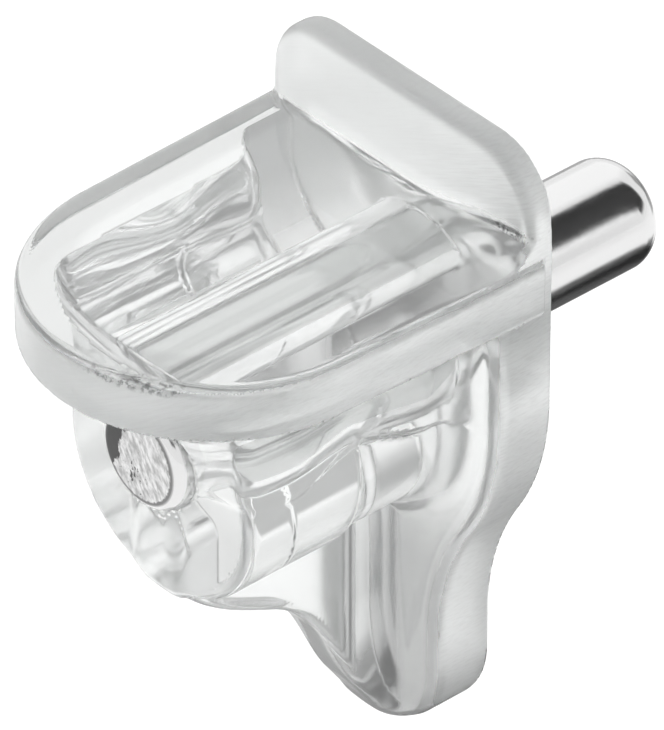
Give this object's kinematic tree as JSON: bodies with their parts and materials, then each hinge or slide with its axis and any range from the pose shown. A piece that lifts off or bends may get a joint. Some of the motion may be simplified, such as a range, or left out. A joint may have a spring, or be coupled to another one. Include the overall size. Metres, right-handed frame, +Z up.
{
  "type": "shelf support pin",
  "caption": "Clear moulded shelf support on a steel pin: a round-nosed plate with a rear lip carries the shelf, a webbed tail bears on the cabinet side.",
  "frame": {"origin": "on the pin's axis, in the plane of the bracket's flat back face", "axes": "+Y along the pin into the cabinet side, +Z up, +X to the right seen from the front"},
  "size_m": [0.0166, 0.0308, 0.031],
  "materials": {
    "clear_plastic": "clear moulded plastic, glossy, faintly grey",
    "pin_steel": "bright ground steel, cropped rough at the front end"
  },
  "bodies": {
    "root": {"support_body": "clear_plastic", "steel_pin": "pin_steel"}
  },
  "joints": []
}
